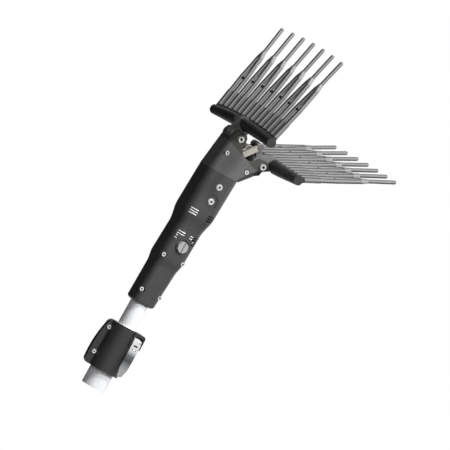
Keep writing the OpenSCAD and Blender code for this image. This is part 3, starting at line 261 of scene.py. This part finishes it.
wears = {
    "pole": ["outer_tube", "inner_tube"],
    "clamp": ["clamp_near", "clamp_far"],
    "bright": ["clamp_screws", "draw_bolt", "lever_pin", "casing_screws", "frame_screws", "pivot_bolts",
               "pivot_nuts"],
    "washer": ["pivot_washers"],
    "chrome": ["clamp_lever"],
    "guide": ["tube_bush", "tube_guide_ring", "yoke_guide"],
    "casing": ["casing_near", "casing_far"],
    "head": ["head_near", "head_far"],
    "alloy": ["gear_frame"],
    "steel": ["motor_can", "motor_front_plate", "ball_bearings", "rotor_shaft", "rotor_core"],
    "ferrite": ["motor_magnets"],
    "bell": ["motor_end_bell", "cooling_fan"],
    "brass": ["brush_holders"],
    "carbon": ["carbon_brushes"],
    "cap": ["brush_caps"],
    "copper": ["rotor_windings", "commutator"],
    "gear": ["bevel_pinion", "crown_gear", "crank_shaft", "drive_yoke", "crosshead_pin", "lower_drive_pin",
             "upper_drive_pin"],
    "link": ["lower_link", "upper_link"],
    "arm": ["lower_arm", "upper_arm"],
    "bar": ["lower_bar", "upper_bar"],
    "bronze": ["lower_pivot_bush", "upper_pivot_bush"],
    "rings": ["drive_pin_rings"],
    "stay": ["lower_stays", "upper_stays"],
    "tine": ["lower_legs", "upper_legs", "lower_tips", "upper_tips"],
    "sleeve": ["lower_sleeves", "upper_sleeves"],
    "ferrule": ["lower_ferrules", "upper_ferrules"],
}


# Edges turn sharp past the first angle and are rounded off past the second; seams join within the distance
SHARP_ANGLE = math.radians(32.0)
ROUND_ANGLE = math.radians(38.0)
SEAM_DISTANCE = 0.000002


# Joins the seams of a solid and shades it smooth up to an edge angle
def smoothing_group():
    group = bpy.data.node_groups.new("smooth_edges", "GeometryNodeTree")
    group.interface.new_socket("Geometry", in_out="INPUT", socket_type="NodeSocketGeometry")
    group.interface.new_socket("Geometry", in_out="OUTPUT", socket_type="NodeSocketGeometry")
    start = group.nodes.new("NodeGroupInput")
    end = group.nodes.new("NodeGroupOutput")
    merge = group.nodes.new("GeometryNodeMergeByDistance")
    merge.inputs["Distance"].default_value = SEAM_DISTANCE
    faces = group.nodes.new("GeometryNodeSetShadeSmooth")
    faces.domain = "FACE"
    edges = group.nodes.new("GeometryNodeSetShadeSmooth")
    edges.domain = "EDGE"
    edges.inputs["Shade Smooth"].default_value = False
    turn = group.nodes.new("GeometryNodeInputMeshEdgeAngle")
    sharp = group.nodes.new("FunctionNodeCompare")
    sharp.data_type = "FLOAT"
    sharp.operation = "GREATER_THAN"
    sharp.inputs["B"].default_value = SHARP_ANGLE
    link(group, start.outputs[0], merge.inputs["Geometry"])
    link(group, merge.outputs["Geometry"], faces.inputs["Geometry"])
    link(group, turn.outputs["Unsigned Angle"], sharp.inputs["A"])
    link(group, faces.outputs["Geometry"], edges.inputs["Geometry"])
    link(group, sharp.outputs["Result"], edges.inputs["Selection"])
    link(group, edges.outputs["Geometry"], end.inputs[0])
    return group


smooth_edges = smoothing_group()
# Width of the rounded edges in millimetres
bevels = {"casing": 0.6, "head": 0.9, "clamp": 0.9, "bar": 0.9, "arm": 0.8, "chrome": 0.4, "cap": 0.4,
          "bright": 0.35, "pole": 0.3}


def dress(name, look):
    piece = nodes[name]
    piece.data.materials.clear()
    piece.data.materials.append(looks[look])
    smooth = piece.modifiers.new("smooth", "NODES")
    smooth.node_group = smooth_edges
    if look in bevels:
        round_off = piece.modifiers.new("edges", "BEVEL")
        round_off.width = bevels[look] / 1000.0
        round_off.segments = 2
        round_off.limit_method = "ANGLE"
        round_off.angle_limit = ROUND_ANGLE
        round_off.use_clamp_overlap = True
        weights = piece.modifiers.new("normals", "WEIGHTED_NORMAL")
        weights.keep_sharp = True


for look, names in wears.items():
    for name in names:
        dress(name, look)


# Small pieces, in millimetres as the solids are drawn

HEAD_BODY = "head"
CLAMP_BODY = "pole"


def make_piece(name, points, faces, look, body, round_off):
    mesh = bpy.data.meshes.new(name)
    mesh.from_pydata([(x / 1000.0, y / 1000.0, z / 1000.0) for x, y, z in points], [], faces)
    mesh.materials.append(looks[look])
    piece = bpy.data.objects.new(name, mesh)
    scene.collection.objects.link(piece)
    edges = piece.modifiers.new("edges", "BEVEL")
    edges.width = round_off / 1000.0
    edges.segments = 2
    edges.limit_method = "ANGLE"
    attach(piece, body)
    return piece


# Dark dished six-sided cup at the foot of a socket: a painted shadow in the socket's hollow
def socket_shadow_cup(name, x, y, z, key, body):
    levels = [(1.0, 0.0), (1.0, -0.5), (0.82, -0.5), (0.6, -0.2)]
    points = []
    for share, lift in levels:
        for k in range(6):
            angle = math.radians(60.0 * k)
            points.append((x + share * key * math.cos(angle), y + lift, z + share * key * math.sin(angle)))
    faces = [tuple(range(6)), tuple(range(23, 17, -1))]
    for level in range(len(levels) - 1):
        for k in range(6):
            low = level * 6
            faces.append((low + k, low + 6 + k, low + 6 + (k + 1) % 6, low + (k + 1) % 6))
    make_piece(name, points, faces, "socket", body, 0.05)


# Half width of the socket across its corners, by screw
SMALL_KEY = 1.6
FRAME_KEY = 2.1
PIVOT_KEY = 2.6
# Place across, depth of the socket foot, place up, key size
socket_places = [
    (-17.2, -15.9, 173.8, SMALL_KEY), (19.0, -15.9, 173.8, SMALL_KEY),
    (-15.8, -21.4, 238.6, SMALL_KEY), (22.6, -21.4, 238.6, SMALL_KEY),
    (-6.9, -25.7, 427.0, SMALL_KEY), (39.6, -26.7, 414.4, SMALL_KEY),
    (8.4, -28.1, 347.0, FRAME_KEY), (8.4, -29.5, 373.0, FRAME_KEY),
    (2.5, -25.45, 456.0, PIVOT_KEY), (60.0, -27.2, 434.0, PIVOT_KEY),
]
CLAMP_SOCKET_DEPTH = -3.7
clamp_socket_places = [(-31.5, 51.0), (-28.6, 96.0)]
# Painted shadows at the foot of the screws' sockets
for number, (x, y, z, key) in enumerate(socket_places):
    socket_shadow_cup("socket_%d" % number, x, y, z, key, HEAD_BODY)
for number, (x, z) in enumerate(clamp_socket_places):
    socket_shadow_cup("clamp_socket_%d" % number, x, CLAMP_SOCKET_DEPTH, z, SMALL_KEY, CLAMP_BODY)


# The casing's foot, height and sideways lean, and its width at three heights above the foot
CASE_FOOT = 152.0
CASE_HEIGHT = 242.0
CASE_LEAN = 9.6
GRIP_HEIGHT, GRIP_WIDTH = 85.0, 49.0
WAIST_HEIGHT, WAIST_WIDTH = 138.0, 48.3
FLARE_HEIGHT, FLARE_WIDTH = 170.0, 57.4
CORNER_SHARE = 0.58


# Outline of the casing at a height above its foot: sideways shift, half width and corner radius
def case_section(height):
    if height < WAIST_HEIGHT:
        share = (height - GRIP_HEIGHT) / (WAIST_HEIGHT - GRIP_HEIGHT)
        wide = GRIP_WIDTH + (WAIST_WIDTH - GRIP_WIDTH) * share
    else:
        share = min(1.0, (height - WAIST_HEIGHT) / (FLARE_HEIGHT - WAIST_HEIGHT))
        wide = WAIST_WIDTH + (FLARE_WIDTH - WAIST_WIDTH) * share * share * (3.0 - 2.0 * share)
    return CASE_LEAN * height / CASE_HEIGHT, wide / 2.0, CORNER_SHARE * wide / 2.0


# Depth of the casing's near face at a place across it
def case_face(x, height):
    shift, half, corner = case_section(height)
    beyond = abs(x - shift) - (half - corner)
    if beyond <= 0.0:
        return -half
    return -(half - corner) - math.sqrt(max(0.0, corner * corner - beyond * beyond))


# Pale strips painted into the vent slots as their lit inside: sink behind the face, half height, depth, gap
# at the ends, points along them, and the
# share of the casing's corner that has no slot
VENT_LIGHT_SINK = 0.5
VENT_LIGHT_HALF = 0.8
VENT_LIGHT_DEPTH = 1.6
VENT_LIGHT_GAP = 0.25
VENT_LIGHT_STEPS = 14
BARE_CORNER = 0.35


# Pale strip that fills a vent slot a little behind the face: painted light for the lit inside of the vent
def painted_vent_light(name, z, left, right):
    height = z - CASE_FOOT
    shift, half, corner = case_section(height)
    side = half - BARE_CORNER * corner
    start = max(left, shift - side) + VENT_LIGHT_GAP
    stop = min(right, shift + side) - VENT_LIGHT_GAP
    low, high = z - VENT_LIGHT_HALF, z + VENT_LIGHT_HALF
    points = []
    for k in range(VENT_LIGHT_STEPS):
        x = start + (stop - start) * k / (VENT_LIGHT_STEPS - 1)
        front = case_face(x, height) + VENT_LIGHT_SINK
        rear = front + VENT_LIGHT_DEPTH
        points += [(x, front, low), (x, front, high), (x, rear, high), (x, rear, low)]
    faces = [(3, 2, 1, 0), tuple(4 * (VENT_LIGHT_STEPS - 1) + k for k in range(4))]
    for k in range(VENT_LIGHT_STEPS - 1):
        for j in range(4):
            faces.append((4 * k + j, 4 * k + (j + 1) % 4, 4 * k + 4 + (j + 1) % 4, 4 * k + 4 + j))
    make_piece(name, points, faces, "painted_vent_light", HEAD_BODY, 0.2)


# Lowest slot of each group of vents, the pitch of the slots, and a place left of them all
UPPER_VENTS = 317.2
LOWER_VENTS = 271.6
VENT_PITCH = 4.0
FAR_LEFT = -200.0
# Painted light only where the vents' inside is lit; the slots in shade are left dark
for row in range(3):
    painted_vent_light("upper_louvre_%d" % row, UPPER_VENTS + VENT_PITCH * row, FAR_LEFT, -2.0)
for row in range(4):
    painted_vent_light("lower_louvre_%d" % row, LOWER_VENTS + VENT_PITCH * row, FAR_LEFT, -10.5 if row < 2 else -0.6)
for row in range(1, 4):
    left, right = (17.0, 20.0) if row < 2 else (9.0, 15.0)
    painted_vent_light("side_louvre_%d" % row, LOWER_VENTS + VENT_PITCH * row, left, right)


# Floor, backdrop and light

FLOOR_Z = -0.25
FLOOR_HALF = 6.0
# The floor's shadow fades into the white ground between these distances from the middle
FADE_BEGINS = 0.25
FADE_ENDS = 1.1
AIM = Vector((0.04, 0.0, 0.4))
# Bright parts of the room: the way to each, and the cosines where it begins and is full
ROOM_GLOW = [((-0.05, -0.8, 0.6), 0.35, 0.9), ((0.99, -0.1, 0.15), 0.78, 0.98), ((0.7, 0.7, 0.1), 0.6, 0.95)]
ROOM_DARK = 0.03


# Seen directly, in a mirror or through glass, as against rays that only carry light
def seen_rays(tree):
    path = tree.nodes.new("ShaderNodeLightPath")
    first = tree.nodes.new("ShaderNodeMath")
    first.operation = "MAXIMUM"
    second = tree.nodes.new("ShaderNodeMath")
    second.operation = "MAXIMUM"
    link(tree, path.outputs["Is Camera Ray"], first.inputs[0])
    link(tree, path.outputs["Is Glossy Ray"], first.inputs[1])
    link(tree, first.outputs["Value"], second.inputs[0])
    link(tree, path.outputs["Is Transmission Ray"], second.inputs[1])
    return second.outputs["Value"]


# Brightness of the room in gloss, by the way to it: white in its bright parts and dark between them
def room_fall(tree, way):
    brightest = None
    for middle, begins, full in ROOM_GLOW:
        facing = tree.nodes.new("ShaderNodeVectorMath")
        facing.operation = "DOT_PRODUCT"
        facing.inputs[1].default_value = Vector(middle).normalized()
        fall = tree.nodes.new("ShaderNodeMapRange")
        fall.interpolation_type = "SMOOTHSTEP"
        fall.inputs["From Min"].default_value = begins
        fall.inputs["From Max"].default_value = full
        fall.inputs["To Min"].default_value = ROOM_DARK
        fall.inputs["To Max"].default_value = 1.0
        link(tree, way, facing.inputs[0])
        link(tree, facing.outputs["Value"], fall.inputs["Value"])
        if brightest is None:
            brightest = fall.outputs["Result"]
        else:
            both = tree.nodes.new("ShaderNodeMath")
            both.operation = "MAXIMUM"
            link(tree, brightest, both.inputs[0])
            link(tree, fall.outputs["Result"], both.inputs[1])
            brightest = both.outputs["Value"]
    return brightest


def make_floor():
    mesh = bpy.data.meshes.new("floor")
    corners = [(-1, -1), (1, -1), (1, 1), (-1, 1)]
    mesh.from_pydata([(x * FLOOR_HALF, y * FLOOR_HALF, FLOOR_Z) for x, y in corners], [], [(0, 1, 2, 3)])
    floor = bpy.data.objects.new("floor", mesh)
    scene.collection.objects.link(floor)
    made, tree, shader = material("floor_pale")
    shader.inputs["Roughness"].default_value = 0.9
    seen_now = seen_rays(tree)
    tone = ramp(tree, seen_now, [(0.0, (0.12, 0.12, 0.12)), (1.0, (0.8, 0.8, 0.8))])
    link(tree, tone, shader.inputs["Base Color"])
    glow = tree.nodes.new("ShaderNodeEmission")
    glow.inputs["Color"].default_value = (1.0, 1.0, 1.0, 1.0)
    ray = tree.nodes.new("ShaderNodeLightPath")
    place = tree.nodes.new("ShaderNodeTexCoord")
    reach = tree.nodes.new("ShaderNodeVectorMath")
    reach.operation = "SUBTRACT"
    reach.inputs[1].default_value = AIM
    way = tree.nodes.new("ShaderNodeVectorMath")
    way.operation = "NORMALIZE"
    strength = tree.nodes.new("ShaderNodeMath")
    strength.operation = "MAXIMUM"
    link(tree, ray.outputs["Is Camera Ray"], strength.inputs[0])
    link(tree, place.outputs["Object"], reach.inputs[0])
    link(tree, reach.outputs["Vector"], way.inputs[0])
    link(tree, room_fall(tree, way.outputs["Vector"]), strength.inputs[1])
    link(tree, strength.outputs["Value"], glow.inputs["Strength"])
    away = tree.nodes.new("ShaderNodeVectorMath")
    away.operation = "LENGTH"
    fade = tree.nodes.new("ShaderNodeMapRange")
    fade.interpolation_type = "SMOOTHSTEP"
    fade.inputs["From Min"].default_value = FADE_BEGINS
    fade.inputs["From Max"].default_value = FADE_ENDS
    seen = tree.nodes.new("ShaderNodeMath")
    seen.operation = "MULTIPLY"
    mix = tree.nodes.new("ShaderNodeMixShader")
    link(tree, place.outputs["Object"], away.inputs[0])
    link(tree, away.outputs["Value"], fade.inputs["Value"])
    link(tree, fade.outputs["Result"], seen.inputs[0])
    link(tree, seen_now, seen.inputs[1])
    link(tree, seen.outputs["Value"], mix.inputs["Fac"])
    link(tree, shader.outputs["BSDF"], mix.inputs[1])
    link(tree, glow.outputs["Emission"], mix.inputs[2])
    link(tree, mix.outputs["Shader"], tree.nodes["Material Output"].inputs["Surface"])
    mesh.materials.append(made)


# White where it is seen directly or through glass, and in gloss the bright and dark parts of the room
def make_world():
    world = bpy.data.worlds.new("studio")
    world.use_nodes = True
    scene.world = world
    tree = world.node_tree
    tree.nodes.clear()
    output = tree.nodes.new("ShaderNodeOutputWorld")
    seen = tree.nodes.new("ShaderNodeBackground")
    seen.inputs["Color"].default_value = (1.0, 1.0, 1.0, 1.0)
    lit = tree.nodes.new("ShaderNodeBackground")
    lit.inputs["Color"].default_value = (0.06, 0.06, 0.06, 1.0)
    mirrored = tree.nodes.new("ShaderNodeBackground")
    place = tree.nodes.new("ShaderNodeTexCoord")
    path = tree.nodes.new("ShaderNodeLightPath")
    straight = tree.nodes.new("ShaderNodeMath")
    straight.operation = "MAXIMUM"
    gloss_mix = tree.nodes.new("ShaderNodeMixShader")
    seen_mix = tree.nodes.new("ShaderNodeMixShader")
    link(tree, room_fall(tree, place.outputs["Generated"]), mirrored.inputs["Strength"])
    link(tree, path.outputs["Is Glossy Ray"], gloss_mix.inputs["Fac"])
    link(tree, lit.outputs["Background"], gloss_mix.inputs[1])
    link(tree, mirrored.outputs["Background"], gloss_mix.inputs[2])
    link(tree, path.outputs["Is Camera Ray"], straight.inputs[0])
    link(tree, path.outputs["Is Transmission Ray"], straight.inputs[1])
    link(tree, straight.outputs["Value"], seen_mix.inputs["Fac"])
    link(tree, gloss_mix.outputs["Shader"], seen_mix.inputs[1])
    link(tree, seen.outputs["Background"], seen_mix.inputs[2])
    link(tree, seen_mix.outputs["Shader"], output.inputs["Surface"])


# Lamp on the object, which gives no glints of its own: gloss shows the room instead
def make_lamp(name, way, distance, size, power):
    light = bpy.data.lights.new(name, "AREA")
    light.shape = "SQUARE"
    light.size = size
    light.energy = power
    lamp = bpy.data.objects.new(name, light)
    scene.collection.objects.link(lamp)
    lamp.visible_glossy = False
    lamp.location = AIM + Vector(way).normalized() * distance
    lamp.rotation_euler = (AIM - lamp.location).to_track_quat("-Z", "Y").to_euler()


make_floor()
make_world()
make_lamp("key", (0.45, -1.22, 0.6), 2.0, 0.2, 32.0)
make_lamp("front", (-0.5, -0.87, 0.25), 2.0, 0.6, 8.0)
make_lamp("side", (1.0, -0.3, 0.2), 2.0, 0.3, 7.0)
make_lamp("top", (0.05, -0.75, 1.0), 2.0, 0.2, 34.0)
make_lamp("behind", (0.12, 1.0, 0.35), 2.0, 0.6, 34.0)


# Camera: the photographed frame is 450 pixels wide, and the pole leans in it
AZIMUTH = math.radians(-28.0)
ELEVATION = math.radians(1.4)
LEAN = math.radians(29.15)
FRAME_WIDTH = 0.711
DISTANCE = 16.0
TARGET_ACROSS = 0.0581
TARGET_UP = 0.3252
across = Vector((math.cos(AZIMUTH), math.sin(AZIMUTH), 0.0))
level_back = Vector((math.sin(AZIMUTH), -math.cos(AZIMUTH), 0.0))
upright = Vector((0.0, 0.0, 1.0))
back = level_back * math.cos(ELEVATION) + upright * math.sin(ELEVATION)
rise = upright * math.cos(ELEVATION) - level_back * math.sin(ELEVATION)
right_edge = across * math.cos(LEAN) + rise * math.sin(LEAN)
top_edge = rise * math.cos(LEAN) - across * math.sin(LEAN)
target = across * TARGET_ACROSS + upright * TARGET_UP
lens = bpy.data.cameras.new("camera")
lens.sensor_width = 36.0
lens.lens = lens.sensor_width * DISTANCE / FRAME_WIDTH
lens.clip_end = 100.0
camera = bpy.data.objects.new("camera", lens)
scene.collection.objects.link(camera)
turn = Matrix((right_edge, top_edge, back)).transposed().to_4x4()
camera.matrix_world = Matrix.Translation(target + back * DISTANCE) @ turn
scene.camera = camera

scene.view_settings.view_transform = "Standard"
